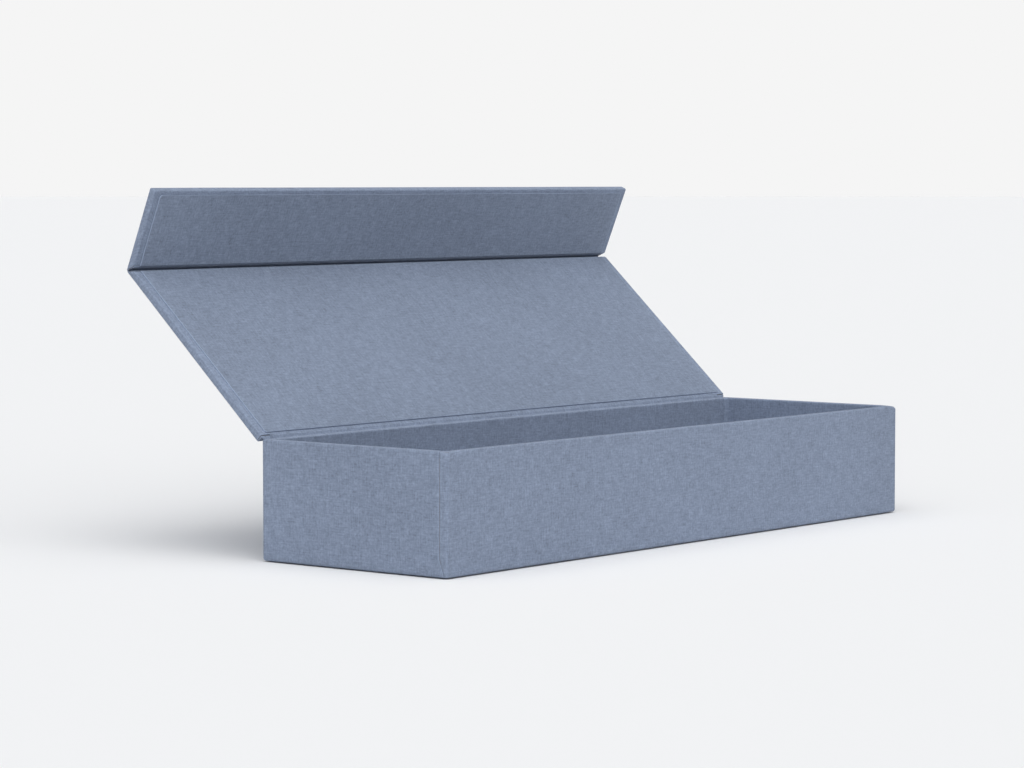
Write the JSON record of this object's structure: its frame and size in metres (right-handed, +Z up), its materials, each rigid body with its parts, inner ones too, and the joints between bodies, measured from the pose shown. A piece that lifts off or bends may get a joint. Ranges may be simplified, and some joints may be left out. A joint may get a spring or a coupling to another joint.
{
  "type": "archival box",
  "caption": "Long, low cloth-covered storage box with a lid hinged along its back wall and a front closing flap hinged to the lid's far edge, standing open.",
  "frame": {"origin": "centre of the face that the box stands on", "axes": "+X along the box's length, +Y from the front wall to the back wall that carries the lid's hinge, +Z up"},
  "size_m": [0.33, 0.175, 0.152],
  "materials": {
    "greyboard": "raw grey millboard",
    "book_cloth": "matt woven blue-grey book cloth",
    "lining_cloth": "matt woven blue-grey lining cloth",
    "stay_paper": "gummed kraft paper tape",
    "keeper_steel": "zinc-plated steel",
    "magnet_plating": "nickel-plated magnet"
  },
  "bodies": {
    "tray": {"base_board": "greyboard", "front_board": "greyboard", "back_board": "greyboard", "left_end_board": "greyboard", "right_end_board": "greyboard", "corner_stays": "stay_paper", "closure_keepers": "keeper_steel", "front_cover": "book_cloth", "back_cover": "book_cloth", "left_end_cover": "book_cloth", "right_end_cover": "book_cloth", "back_liner": "book_cloth", "floor_liner": "lining_cloth", "base_cover": "book_cloth", "lid_hinge_cloth": "book_cloth", "lid_hinge_strip": "book_cloth"},
    "lid": {"lid_board": "greyboard", "lid_cover": "book_cloth", "lid_liner": "lining_cloth", "flap_hinge_cloth": "book_cloth"},
    "flap": {"flap_board": "greyboard", "flap_cover": "book_cloth", "flap_liner": "lining_cloth", "flap_magnets": "magnet_plating"}
  },
  "joints": [
    {"name": "lid_hinge", "type": "hinge", "parent": "tray", "child": "lid", "pos_m": [0, 0.0488, 0.0509], "axis": [-1, 0, 0], "range_deg": [-137.6, 42.4], "deforming": ["lid_hinge_cloth", "lid_hinge_strip"]},
    {"name": "flap_hinge", "type": "hinge", "parent": "lid", "child": "flap", "pos_m": [0, 0.12578, 0.11727], "axis": [-1, 0, 0], "range_deg": [-20, 70], "deforming": ["flap_hinge_cloth"]}
  ]
}
